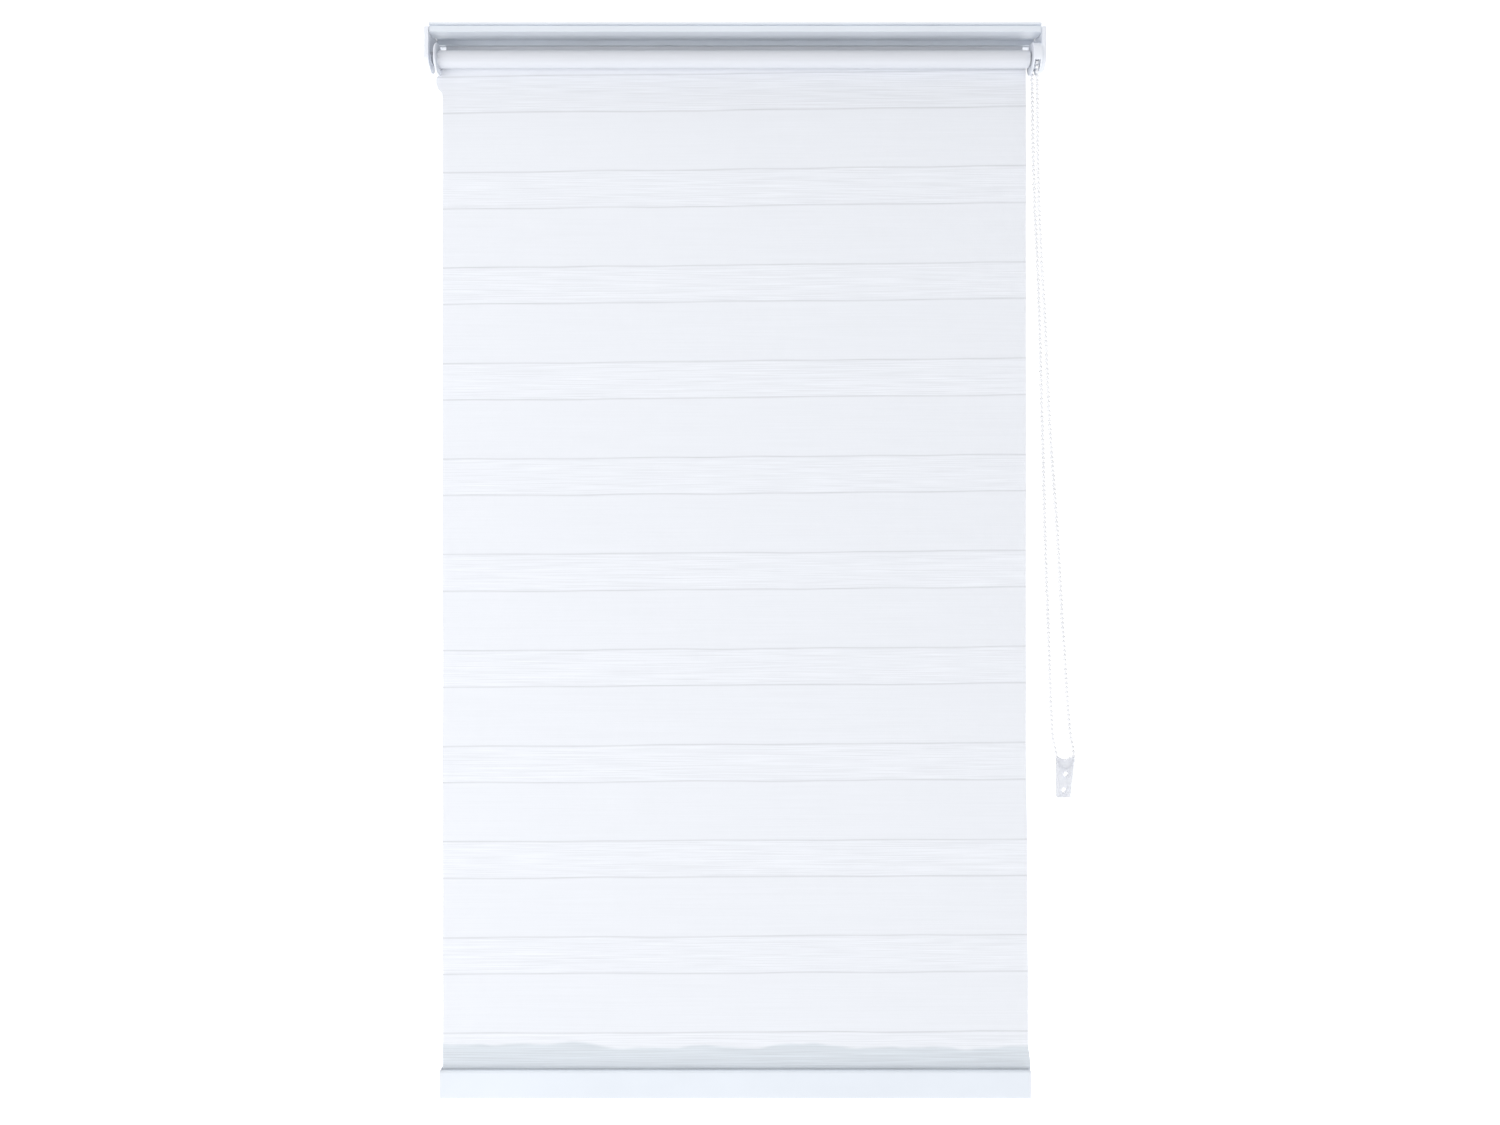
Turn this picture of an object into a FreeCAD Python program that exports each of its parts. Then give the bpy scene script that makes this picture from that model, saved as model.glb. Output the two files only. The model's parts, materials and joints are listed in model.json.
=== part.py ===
import FreeCAD, Part

import math
import os

# A day-and-night (zebra) roller blind. Two layers of striped fabric hang between an open head rail and a
# bottom rail. The front layer winds on a tube that a bead chain turns, the rear layer is held by the head
# rail, and a bar rolls in the loop between them.
#
# Millimetres. +X is to the right as seen from the room, +Y points to the wall behind, +Z is up. The origin
# is midway between the two ceiling screws, on the plane that the mounting clips bear on.

# Overall
BLIND_WIDTH = 800.0  # over the two brackets
BLIND_DROP = 1396.0  # from the ceiling to the underside of the bottom rail

# Fabric
FABRIC_T = 0.3
FABRIC_INSET_LEFT = 16.5  # from the bracket's outer face to the fabric's edge
FABRIC_INSET_RIGHT = 19.5
ROLL_BUILD = 1.5  # the turns that stay on the tube
SOFT_GAP = 0.3  # between fabric and what moves past it

# Head rail
RAIL_DEPTH = 53.0
RAIL_HEIGHT = 12.0
RAIL_BACK_Y = 26.0
RAIL_WALL = 1.3
RAIL_TOP_GAP = 1.5  # from the ceiling to the rail
CLIP_SLOT = 23.0  # the opening in the rail's top
CLIP_SLOT_DROP = 4.1  # from the rail's top to the floor of the slot
FRONT_FLANGE = 19.4
REAR_FLANGE = 13.4
FABRIC_SLOT = 2.4
GROOVE_DROP = 2.7  # from the rail's top to the groove along its face
GROOVE_WIDTH = 2.0
GROOVE_DEPTH = 2.2
PORT_R = 2.3  # outside of a screw port
PORT_HOLE_R = 1.25
PORT_FRONT_INSET = 6.5  # from the rail's front face to the front port

# Clips
CLIP_SHEET = 1.2
CLIP_WIDTH = 26.0
CLIP_SPACING = 500.0
CLIP_HOLE_R = 2.3
CLIP_LIP_REACH = 4.5  # how far the clip's feet go under the lips

# Brackets
BRACKET_T = 5.5
BRACKET_TOP_DROP = 5.7  # from the rail's top to the bracket's top
BRACKET_FRONT_REACH = 1.95  # past the rail's face
BRACKET_EDGE_R = 1.6
BRACKET_BACK_REACH = 0.5  # past the rail's back
AXIS_DROP = 29.0  # from the rail's underside to the roll's axis
TONGUE_LENGTH = 14.0
SCREW_R = 1.2
SCREW_HEAD_R = 2.2
SCREW_HEAD_T = 1.6
SCREW_LENGTH = 16.0
END_GAP = 0.3
FIT = 0.25  # a loose fit between fixed pieces
SNUG = 0.1  # a close fit between fixed pieces
RUNNING = 0.06  # radial clearance of what turns on a pin

# Tube
TUBE_R = 9.5
TUBE_WALL = 1.0
TUBE_OVERHANG = 1.0  # past the fabric's edge, at each end
TUBE_GROOVE_WIDTH = 3.0
TUBE_GROOVE_DEPTH = 1.0
TUBE_GROOVE_WALL = 0.9

# Chain drive
BEAD_D = 4.5
BEAD_PITCH = 6.0
POCKETS = 14
GUARD_R = 20.0
GUARD_T = 1.6
BASE_T = 2.0
WHEEL_WIDTH = 6.8
WHEEL_FLANGE_REACH = 3.0  # past the pitch circle
MANDREL_R = 3.9
MANDREL_LENGTH = 43.0
SLEEVE_WALL = 1.4
SPRING_GAP = 0.24  # from the brake springs to the sleeve round them
SLEEVE_LENGTH = 21.0
SPRING_WIRE = 0.9
SPRING_COILS = 9
HUB_LENGTH = 31.0
SOCKET_GAP = 0.15  # round the sleeve, inside the hub
RIB_WIDTH = 1.6
SLEEVE_SLOT = 4.8
TANG_OFFSET = 1.7
LUG_WIDTH = 7.8
LUG_HEIGHT = 11.8
LUG_LENGTH = 3.6
AXIAL_GAP = 0.4

# Idle end
FLANGE_T = 1.8
PLUG_LENGTH = 32.0
PLUG_COLLAR_R = 8.0
PLUG_COLLAR_LENGTH = 4.0
PIN_R = 3.0
PIN_HOLD = 3.7  # how far the pin stands in the bracket
PIN_COLLAR_R = 4.7
PIN_COLLAR_T = 2.8
PIN_STUB = 6.0  # how far the pin stands in its spring
PIN_STEP = 7.0  # from the flange to the collar
COIL_R = 3.7  # middle of the pin spring's wire
COIL_WIRE = 0.7
COIL_TURNS = 7
COIL_STEPS = 12  # straight runs of wire to a turn
SEAT_T = 2.0
SEAT_BOSS = 3.0  # how far the seat's boss stands in the spring

# Bottom rail
CASING_DEPTH = 28.0
CASING_HEIGHT = 36.0
CASING_WALL = 1.3
CASING_CORNER_R = 2.5
CASING_INSET_LEFT = 13.5
CASING_INSET_RIGHT = 14.0
CASING_SLOT_MARGIN = 1.5
CAP_T = 2.0
CAP_TONGUE_HEIGHT = 7.0
CAP_TONGUE_LENGTH = 8.0
BAR_R = 6.0
BAR_WALL = 1.0
BAR_RISE = 20.0  # from the underside to the bar's axis
AXLE_LENGTH = 14.0

# Tensioner
TENSIONER_TOP = (417.2, 440.5)  # its left and right corners
TENSIONER_FOOT = (417.2, 435.0)
TENSIONER_TOP_Z = -950.0
TENSIONER_FOOT_Z = -1001.5
TENSIONER_T = 9.0
TENSIONER_CORNER_R = 1.5
TENSIONER_HOLE_R = 3.3
TENSIONER_HOLES = ((429.2, -971.5), (426.9, -992.0))
HUB_SCALLOP_R = 9.5
CHANNEL_GAP = 0.5
PARTING_OFFSET = 0.4  # from the chain's plane to the joint between the halves

# Worked out from the sizes above
HALF = BLIND_WIDTH / 2
INNER = HALF - BRACKET_T  # inner face of either bracket
FABRIC_LEFT = -HALF + FABRIC_INSET_LEFT
FABRIC_RIGHT = HALF - FABRIC_INSET_RIGHT
RAIL_TOP = -RAIL_TOP_GAP
RAIL_FOOT = RAIL_TOP - RAIL_HEIGHT
RAIL_FRONT_Y = RAIL_BACK_Y - RAIL_DEPTH
RAIL_HALF = INNER - END_GAP
WEB_TOP = RAIL_TOP - CLIP_SLOT_DROP
WEB_FOOT = WEB_TOP - RAIL_WALL
PORT_Z = RAIL_FOOT + RAIL_WALL + PORT_R - SNUG
PORT_FRONT_Y = RAIL_FRONT_Y + PORT_FRONT_INSET
PORT_BACK_Y = RAIL_BACK_Y - RAIL_WALL - PORT_R + SNUG
REAR_SLOT_Y = RAIL_BACK_Y - 9.5
ROLL_R = TUBE_R + ROLL_BUILD
AXIS_Y = -(ROLL_R + FABRIC_T / 2 + SOFT_GAP)
AXIS_Z = RAIL_FOOT - AXIS_DROP
BRACKET_TOP = RAIL_TOP - BRACKET_TOP_DROP
BRACKET_NOSE_R = AXIS_Y - RAIL_FRONT_Y + BRACKET_FRONT_REACH  # round the roll's axis
TUBE_LEFT = FABRIC_LEFT - TUBE_OVERHANG
TUBE_RIGHT = FABRIC_RIGHT + TUBE_OVERHANG
TUBE_BORE_R = TUBE_R - TUBE_WALL
KEY_R = TUBE_R - TUBE_GROOVE_DEPTH - TUBE_GROOVE_WALL  # inside of the tube's groove
PLUG_R = TUBE_BORE_R - SNUG
BASE_X = INNER - BASE_T  # inner face of the clutch's plate
WHEEL_X1 = BASE_X - AXIAL_GAP
WHEEL_X0 = WHEEL_X1 - WHEEL_WIDTH
CHAIN_X = (WHEEL_X0 + WHEEL_X1) / 2
GUARD_X1 = WHEEL_X0 - AXIAL_GAP
GUARD_X0 = GUARD_X1 - GUARD_T
HUB_X1 = GUARD_X0 - AXIAL_GAP
HUB_X0 = HUB_X1 - HUB_LENGTH
SLEEVE_BORE_R = MANDREL_R + RUNNING + SPRING_WIRE + SPRING_GAP
SLEEVE_R = SLEEVE_BORE_R + SLEEVE_WALL
PITCH_R = POCKETS * BEAD_PITCH / (2 * math.pi)
BEAD_R = BEAD_D / 2
BAR_Z = -BLIND_DROP + BAR_RISE
LOOP_R = BAR_R + SOFT_GAP + FABRIC_T / 2  # middle of the fabric round the bar
CASING_Y = LOOP_R
REAR_LAYER_Y = 2 * LOOP_R
FLANGE_X1 = TUBE_LEFT - 1.3  # inner face of the idle flange
FLANGE_X0 = FLANGE_X1 - FLANGE_T
COLLAR_X0 = FLANGE_X0 - PLUG_COLLAR_LENGTH
PLUG_X1 = TUBE_LEFT + PLUG_LENGTH
STEP_X = FLANGE_X1 + PIN_STEP

# The chain's route, from the top of the wheel down its front strand, round the tensioner and back up.
# The first and last three points go round the wheel.
OCTAGON = PITCH_R / math.cos(math.pi / 8)
FRONT_STRAND = [
    (388.8, -24.6, -59),
    (389.1, -24.0, -103),
    (389.8, -23.0, -165),
    (391.4, -22.1, -230),
    (394.6, -21.1, -295),
    (398.9, -20.2, -360),
    (402.3, -19.2, -425),
    (405.0, -18.2, -490),
    (409.2, -17.3, -555),
    (414.6, -16.3, -620),
    (419.1, -15.4, -685),
    (422.6, -14.4, -750),
    (427.2, -13.4, -812),
    (430.3, -12.7, -862),
    (433.0, -12.1, -900),
    (436.4, -11.8, -927),
    (440.2, -11.5, -945),
]
TENSIONER_TURN = [
    (439.2, -11.45, -957),
    (434.0, -11.45, -964.5),
    (424.6, -11.45, -964.5),
    (419.2, -11.45, -957),
]
TENSIONER_Y = TENSIONER_TURN[0][1]  # the plane of the chain's lowest turn
REAR_STRAND = [
    (417.0, -11.4, -945),
    (412.6, -11.1, -927),
    (410.7, -10.7, -900),
    (409.6, -10.1, -862),
    (408.3, -9.4, -812),
    (406.4, -8.5, -750),
    (404.0, -7.5, -685),
    (402.7, -6.6, -620),
    (401.6, -5.6, -555),
    (399.7, -4.7, -490),
    (398.5, -3.7, -425),
    (396.9, -2.7, -360),
    (394.9, -1.8, -295),
    (391.6, -0.8, -230),
    (390.2, 0.1, -165),
    (389.3, 1.1, -103),
    (388.8, 1.7, -59),
]


def vec(x, y, z):
    return FreeCAD.Vector(x, y, z)


def block(x0, x1, y0, y1, z0, z1):
    """A box between two corners."""
    return Part.makeBox(x1 - x0, y1 - y0, z1 - z0, vec(x0, y0, z0))


def rod(radius, x0, x1, y, z):
    """A cylinder along X."""
    return Part.makeCylinder(radius, x1 - x0, vec(x0, y, z), vec(1, 0, 0))


def axis_rod(radius, x0, x1):
    """A cylinder on the roll's axis."""
    return rod(radius, x0, x1, AXIS_Y, AXIS_Z)


def join(first, *others):
    return first.fuse(list(others)).removeSplitter()


def prism(outline, x0, x1):
    """Edges in the YZ plane, pushed along X."""
    face = Part.Face(Part.Wire(outline))
    face.translate(vec(x0, 0, 0))
    return face.extrude(vec(x1 - x0, 0, 0))


def polygon(points):
    """Straight edges through (y, z) points, closed."""
    corners = [vec(0, y, z) for y, z in points]
    return [Part.makeLine(a, b) for a, b in zip(corners, corners[1:] + corners[:1])]


def around_axis(shape, degrees):
    turned = shape.copy()
    turned.rotate(vec(0, AXIS_Y, AXIS_Z), vec(1, 0, 0), degrees)
    return turned


def coil_stack(bore_r, wire, coils, x0):
    """Close-wound turns as one ring with a ridge for each turn."""
    middle = bore_r + wire / 2
    x1 = x0 + coils * wire
    edges = [
        Part.makeLine(vec(x0, middle, 0), vec(x0, bore_r, 0)),
        Part.makeLine(vec(x0, bore_r, 0), vec(x1, bore_r, 0)),
        Part.makeLine(vec(x1, bore_r, 0), vec(x1, middle, 0)),
    ]
    for i in range(coils):
        right = x1 - i * wire
        ridge = Part.Arc(
            vec(right, middle, 0), vec(right - wire / 2, middle + wire / 2, 0), vec(right - wire, middle, 0)
        )
        edges.append(ridge.toShape())
    ring = Part.Face(Part.Wire(edges)).revolve(vec(0, 0, 0), vec(1, 0, 0), 360)
    ring.translate(vec(0, AXIS_Y, AXIS_Z))
    return ring


def screw(tip_x, head_x, y, z, direction):
    """A pan-head screw along X with a cross recess; direction is +1 where its head points to +X."""
    shank = rod(SCREW_R, min(tip_x, head_x), max(tip_x, head_x), y, z)
    top_x = head_x + direction * SCREW_HEAD_T
    head = rod(SCREW_HEAD_R, min(head_x, top_x), max(head_x, top_x), y, z)
    floor_x = top_x - direction * 0.7
    near, far = min(floor_x, top_x), max(floor_x, top_x)
    slots = [
        block(near, far, y - 1.3, y + 1.3, z - 0.3, z + 0.3),
        block(near, far, y - 0.3, y + 0.3, z - 1.3, z + 1.3),
    ]
    return join(shank, head).cut(slots)


# Head rail and what hangs it


def head_rail():
    def strip(y0, y1, z0, z1):
        return block(-RAIL_HALF, RAIL_HALF, y0, y1, z0, z1)

    front, back, t = RAIL_FRONT_Y, RAIL_BACK_Y, RAIL_WALL
    front_rib = front + FRONT_FLANGE
    rear_rib = back - REAR_FLANGE
    groove_foot = REAR_SLOT_Y + (REAR_SLOT_Y - rear_rib - t)
    profile = join(
        strip(front, -CLIP_SLOT / 2, RAIL_TOP - t, RAIL_TOP),
        strip(CLIP_SLOT / 2, back, RAIL_TOP - t, RAIL_TOP),
        strip(front, back, WEB_FOOT, WEB_TOP),
        strip(front, front + t, RAIL_FOOT, RAIL_TOP),
        strip(front, front + t + GROOVE_DEPTH, WEB_TOP, RAIL_TOP),
        strip(back - t, back, RAIL_FOOT, RAIL_TOP),
        strip(front, front_rib, RAIL_FOOT, RAIL_FOOT + t),
        strip(front_rib - t, front_rib, RAIL_FOOT, WEB_TOP),
        strip(rear_rib, back, RAIL_FOOT, RAIL_FOOT + t),
        strip(rear_rib, rear_rib + t, RAIL_FOOT, WEB_TOP),
        strip(groove_foot, groove_foot + t, RAIL_FOOT, WEB_TOP),
        rod(PORT_R, -RAIL_HALF, RAIL_HALF, PORT_FRONT_Y, PORT_Z),
        rod(PORT_R, -RAIL_HALF, RAIL_HALF, PORT_BACK_Y, PORT_Z),
    )
    groove_top = RAIL_TOP - GROOVE_DROP
    cuts = [
        strip(front, front + GROOVE_DEPTH, groove_top - GROOVE_WIDTH, groove_top),
        strip(REAR_SLOT_Y - FABRIC_SLOT / 2, REAR_SLOT_Y + FABRIC_SLOT / 2, RAIL_FOOT, RAIL_FOOT + t),
        rod(PORT_HOLE_R, -RAIL_HALF, RAIL_HALF, PORT_FRONT_Y, PORT_Z),
        rod(PORT_HOLE_R, -RAIL_HALF, RAIL_HALF, PORT_BACK_Y, PORT_Z),
    ]
    return profile.cut(cuts)


def clip(x):
    """A spring clip whose feet sit under the lips of the rail's top slot."""
    x0, x1 = x - CLIP_WIDTH / 2, x + CLIP_WIDTH / 2
    side = CLIP_SLOT / 2 - FIT
    foot_top = RAIL_TOP - RAIL_WALL
    foot = foot_top - CLIP_SHEET
    reach = side + CLIP_LIP_REACH
    body = join(
        block(x0, x1, -side, side, -CLIP_SHEET, 0),
        block(x0, x1, -side, -side + CLIP_SHEET, foot, 0),
        block(x0, x1, side - CLIP_SHEET, side, foot, 0),
        block(x0, x1, -reach, -side + CLIP_SHEET, foot, foot_top),
        block(x0, x1, side - CLIP_SHEET, reach, foot, foot_top),
    )
    hole = Part.makeCylinder(CLIP_HOLE_R, CLIP_SHEET, vec(x, 0, -CLIP_SHEET))
    return body.cut(hole)


def rail_strip():
    """Strip in the rail's groove; the rear layer's edge is caught in its slit."""
    half = (REAR_SLOT_Y - (RAIL_BACK_Y - REAR_FLANGE) - RAIL_WALL) - FIT
    top = WEB_FOOT - FIT
    foot = RAIL_FOOT + RAIL_WALL
    body = block(FABRIC_LEFT, FABRIC_RIGHT, REAR_SLOT_Y - half, REAR_SLOT_Y + half, foot, top)
    slit = block(
        FABRIC_LEFT, FABRIC_RIGHT, REAR_SLOT_Y - FABRIC_T, REAR_SLOT_Y + FABRIC_T, foot, foot + 2.4
    )
    return body.cut(slit)


def bracket_outline():
    """Square to the rail above, round the roll's axis below."""
    front_y = AXIS_Y - BRACKET_NOSE_R
    back_y = RAIL_BACK_Y + BRACKET_BACK_REACH
    shoulder_z = RAIL_FOOT - 6.0
    dy, dz = back_y - AXIS_Y, shoulder_z - AXIS_Z
    tangent = math.atan2(dz, dy) - math.acos(BRACKET_NOSE_R / math.hypot(dy, dz))

    def nose(angle):
        y = AXIS_Y + BRACKET_NOSE_R * math.cos(angle)
        z = AXIS_Z + BRACKET_NOSE_R * math.sin(angle)
        return vec(0, y, z)

    top_front, top_back = vec(0, front_y, BRACKET_TOP), vec(0, back_y, BRACKET_TOP)
    shoulder = vec(0, back_y, shoulder_z)
    return [
        Part.makeLine(top_front, top_back),
        Part.makeLine(top_back, shoulder),
        Part.makeLine(shoulder, nose(tangent)),
        Part.Arc(nose(tangent), nose((tangent - math.pi) / 2), nose(-math.pi)).toShape(),
        Part.makeLine(nose(-math.pi), top_front),
    ]


def rounded_plate(side):
    """The bracket's plate with its outer edge rounded; side is -1 for left and +1 for right."""
    x0, x1 = sorted((side * INNER, side * HALF))
    plate = prism(bracket_outline(), x0, x1)
    outer = [e for e in plate.Edges if all(abs(v.X - side * HALF) < 0.001 for v in e.Vertexes)]
    return plate.makeFillet(BRACKET_EDGE_R, outer)


def bracket(side):
    """A plate with its tongue in the rail's front chamber and two sunk screw holes."""
    tip = side * (INNER - TONGUE_LENGTH)
    x0, x1 = sorted((tip, side * INNER))
    y0 = PORT_FRONT_Y + PORT_R + FIT
    y1 = RAIL_FRONT_Y + FRONT_FLANGE - RAIL_WALL - FIT
    tongue = block(x0, x1, y0, y1, RAIL_FOOT + RAIL_WALL + FIT, WEB_FOOT - FIT)
    body = join(rounded_plate(side), tongue)
    seat = side * (HALF - SCREW_HEAD_T - 0.6)
    for y in (PORT_FRONT_Y, PORT_BACK_Y):
        a, b = sorted((side * INNER, seat))
        c, d = sorted((seat, side * HALF))
        body = body.cut([rod(SCREW_R + FIT, a, b, y, PORT_Z), rod(SCREW_HEAD_R + SNUG, c, d, y, PORT_Z)])
    return body


def bracket_left():
    boss_x = -INNER + 1.2
    boss = axis_rod(PLUG_COLLAR_R, -INNER, boss_x)
    hole = axis_rod(PIN_R + SNUG, -INNER - PIN_HOLD - FIT, boss_x)
    return join(bracket(-1), boss).cut(hole)


def bracket_right():
    slot = block(
        INNER,
        INNER + LUG_LENGTH + FIT,
        AXIS_Y - LUG_WIDTH / 2 - SNUG,
        AXIS_Y + LUG_WIDTH / 2 + SNUG,
        AXIS_Z - LUG_HEIGHT / 2 - SNUG,
        AXIS_Z + LUG_HEIGHT / 2 + SNUG,
    )
    return bracket(1).cut(slot)


def bracket_screws():
    screws = []
    for side in (-1, 1):
        seat = side * (HALF - SCREW_HEAD_T - 0.6)
        for y in (PORT_FRONT_Y, PORT_BACK_Y):
            screws.append(screw(seat - side * SCREW_LENGTH, seat, y, PORT_Z, side))
    return Part.makeCompound(screws)


# Tube and fabric


def tube_key(outer_r, width):
    """A bar along the tube's top, from the axis out to a radius."""
    return block(TUBE_LEFT, TUBE_RIGHT, AXIS_Y - width / 2, AXIS_Y + width / 2, AXIS_Z, AXIS_Z + outer_r)


def roller_tube():
    shell = axis_rod(TUBE_R, TUBE_LEFT, TUBE_RIGHT).cut(axis_rod(TUBE_BORE_R, TUBE_LEFT, TUBE_RIGHT))
    wide = TUBE_GROOVE_WIDTH + 2 * TUBE_GROOVE_WALL
    wall = tube_key(TUBE_R, wide).cut(tube_key(KEY_R, wide + 1))
    wall = wall.common(axis_rod(TUBE_R, TUBE_LEFT, TUBE_RIGHT))
    groove = tube_key(TUBE_R + 1, TUBE_GROOVE_WIDTH).cut(
        tube_key(TUBE_R - TUBE_GROOVE_DEPTH, TUBE_GROOVE_WIDTH + 1)
    )
    return join(shell, wall).cut(groove)


def tube_strip():
    """Strip that wedges the front layer's edge in the tube's groove."""
    half = TUBE_GROOVE_WIDTH / 2 - SNUG
    floor = AXIS_Z + TUBE_R - TUBE_GROOVE_DEPTH
    top = AXIS_Z + math.sqrt(TUBE_R**2 - half**2) - SNUG
    return block(FABRIC_LEFT, FABRIC_RIGHT, AXIS_Y - half, AXIS_Y + half, floor, top)


def fabric_roll():
    outer = axis_rod(ROLL_R, FABRIC_LEFT, FABRIC_RIGHT)
    return outer.cut(axis_rod(TUBE_R, FABRIC_LEFT, FABRIC_RIGHT))


def hanging_layer(top_y, top_z, foot_y):
    """A sheet from the rail or roll down to the bar, as thick as the fabric."""
    half = FABRIC_T / 2
    outline = [(top_y - half, top_z), (top_y + half, top_z), (foot_y + half, BAR_Z), (foot_y - half, BAR_Z)]
    return prism(polygon(outline), FABRIC_LEFT, FABRIC_RIGHT)


def fabric_front():
    return hanging_layer(0, AXIS_Z, 0)


def fabric_rear():
    return hanging_layer(REAR_SLOT_Y, RAIL_FOOT + RAIL_WALL + 1.5, REAR_LAYER_Y)


def fabric_loop():
    outer = rod(LOOP_R + FABRIC_T / 2, FABRIC_LEFT, FABRIC_RIGHT, CASING_Y, BAR_Z)
    inner = rod(LOOP_R - FABRIC_T / 2, FABRIC_LEFT, FABRIC_RIGHT, CASING_Y, BAR_Z)
    above = block(FABRIC_LEFT, FABRIC_RIGHT, -CASING_DEPTH, CASING_DEPTH, BAR_Z, BAR_Z + CASING_HEIGHT)
    return outer.cut(inner).cut(above)


# Chain drive, at the right end


def clutch_base():
    """Plate and mandrel in one moulding; a lug keys it to the bracket."""
    plate = axis_rod(GUARD_R, BASE_X, INNER)
    mandrel = axis_rod(MANDREL_R, INNER - MANDREL_LENGTH, INNER)
    lug = block(
        INNER,
        INNER + LUG_LENGTH,
        AXIS_Y - LUG_WIDTH / 2,
        AXIS_Y + LUG_WIDTH / 2,
        AXIS_Z - LUG_HEIGHT / 2,
        AXIS_Z + LUG_HEIGHT / 2,
    )
    hole = axis_rod(PORT_HOLE_R, INNER - MANDREL_LENGTH, INNER - MANDREL_LENGTH + 12)
    notches = [around_axis(guard_tab(SNUG), angle) for angle in (-70, 0, 70)]
    return join(plate, mandrel, lug).cut([hole, *notches])


def guard_tab(clearance):
    """The tab at the guard's top that catches in the clutch's plate."""
    return block(
        BASE_X,
        BASE_X + 1.4 + clearance,
        AXIS_Y - 2.5 - clearance,
        AXIS_Y + 2.5 + clearance,
        AXIS_Z + GUARD_R - 1.5 - clearance,
        AXIS_Z + GUARD_R + clearance,
    )


def clutch_guard():
    """A round cup over the wheel, open below where the chain leaves."""
    disc = axis_rod(GUARD_R, GUARD_X0, GUARD_X1).cut(axis_rod(SLEEVE_R + 0.7, GUARD_X0, GUARD_X1))
    rim = axis_rod(GUARD_R, GUARD_X1, BASE_X).cut(axis_rod(GUARD_R - GUARD_T, GUARD_X1, BASE_X))
    below = block(
        GUARD_X1, BASE_X, AXIS_Y - 2 * GUARD_R, AXIS_Y + 2 * GUARD_R, AXIS_Z - 2 * GUARD_R, AXIS_Z - 7.5
    )
    outside = axis_rod(GUARD_R, BASE_X, BASE_X + 2)
    tabs = [around_axis(guard_tab(0), angle).common(outside) for angle in (-70, 0, 70)]
    cup = join(disc, rim.cut(below), *tabs)
    soft = [e for e in cup.Edges if abs(e.Length - 2 * math.pi * GUARD_R) < 0.01]
    return cup.makeFillet(0.7, soft)


def chain_wheel():
    """Pocketed wheel with a slotted sleeve that holds the brake springs."""
    rim = axis_rod(PITCH_R + WHEEL_FLANGE_REACH, WHEEL_X0, WHEEL_X1)
    sleeve = axis_rod(SLEEVE_R, WHEEL_X0 - SLEEVE_LENGTH, WHEEL_X0)
    groove_r = BEAD_R + 0.3
    ring = Part.makeTorus(PITCH_R, groove_r, vec(CHAIN_X, AXIS_Y, AXIS_Z), vec(1, 0, 0))
    wide = axis_rod(PITCH_R + 5, CHAIN_X - groove_r, CHAIN_X + groove_r).cut(
        axis_rod(PITCH_R, CHAIN_X - groove_r, CHAIN_X + groove_r)
    )
    pocket = Part.makeSphere(groove_r, vec(CHAIN_X, AXIS_Y, AXIS_Z + PITCH_R - 0.9))
    pockets = [around_axis(pocket, 360 * i / POCKETS) for i in range(POCKETS)]
    bore = axis_rod(MANDREL_R + RUNNING, WHEEL_X0 - SLEEVE_LENGTH, WHEEL_X1)
    hollow = axis_rod(SLEEVE_BORE_R, WHEEL_X0 - SLEEVE_LENGTH, WHEEL_X0)
    slot = block(
        WHEEL_X0 - SLEEVE_LENGTH,
        WHEEL_X0 - 3,
        AXIS_Y - SLEEVE_SLOT / 2,
        AXIS_Y + SLEEVE_SLOT / 2,
        AXIS_Z,
        AXIS_Z + SLEEVE_R + 1,
    )
    return join(rim, sleeve).cut([ring, wide, bore, hollow, slot, *pockets])


def wrap_spring(x0, tang_y):
    """A brake spring: close turns and a tang that stands in the sleeve's slot."""
    turns = coil_stack(MANDREL_R + RUNNING, SPRING_WIRE, SPRING_COILS, x0)
    tang = block(
        x0,
        x0 + SPRING_WIRE,
        AXIS_Y + tang_y - SPRING_WIRE / 2,
        AXIS_Y + tang_y + SPRING_WIRE / 2,
        AXIS_Z + MANDREL_R + SPRING_WIRE / 2,
        AXIS_Z + SLEEVE_R - 0.2,
    )
    return join(turns, tang)


def wrap_springs():
    first = WHEEL_X0 - SLEEVE_LENGTH + 1.0
    second = first + SPRING_COILS * SPRING_WIRE + AXIAL_GAP
    return Part.makeCompound([wrap_spring(first, -TANG_OFFSET), wrap_spring(second, TANG_OFFSET)])


def plug_body(x0, x1):
    """A plug for the tube's end, notched for the tube's groove."""
    notch_wide = TUBE_GROOVE_WIDTH + 2 * TUBE_GROOVE_WALL + 2 * SNUG
    notch = block(
        x0, x1, AXIS_Y - notch_wide / 2, AXIS_Y + notch_wide / 2, AXIS_Z + KEY_R - SNUG, AXIS_Z + TUBE_R
    )
    return axis_rod(PLUG_R, x0, x1).cut(notch)


def drive_hub():
    """Plug that the wheel's sleeve turns through the rib inside it."""
    barrel = plug_body(HUB_X0, TUBE_RIGHT)
    stop = axis_rod(TUBE_R - SNUG, TUBE_RIGHT, HUB_X1)
    socket_r = SLEEVE_R + SOCKET_GAP
    socket_x = WHEEL_X0 - SLEEVE_LENGTH - AXIAL_GAP
    bore = axis_rod(MANDREL_R + RUNNING, HUB_X0, HUB_X1)
    socket = axis_rod(socket_r, socket_x, HUB_X1)
    rib_foot, rib_top = AXIS_Z + SLEEVE_BORE_R + SNUG, AXIS_Z + socket_r + SNUG
    rib = block(socket_x, HUB_X1 - 4, AXIS_Y - RIB_WIDTH / 2, AXIS_Y + RIB_WIDTH / 2, rib_foot, rib_top)
    return join(join(barrel, stop).cut([bore, socket]), rib)


def clutch_washer():
    tip = INNER - MANDREL_LENGTH
    return axis_rod(SLEEVE_R, tip - 1, tip).cut(axis_rod(SCREW_R + FIT, tip - 1, tip))


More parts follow.
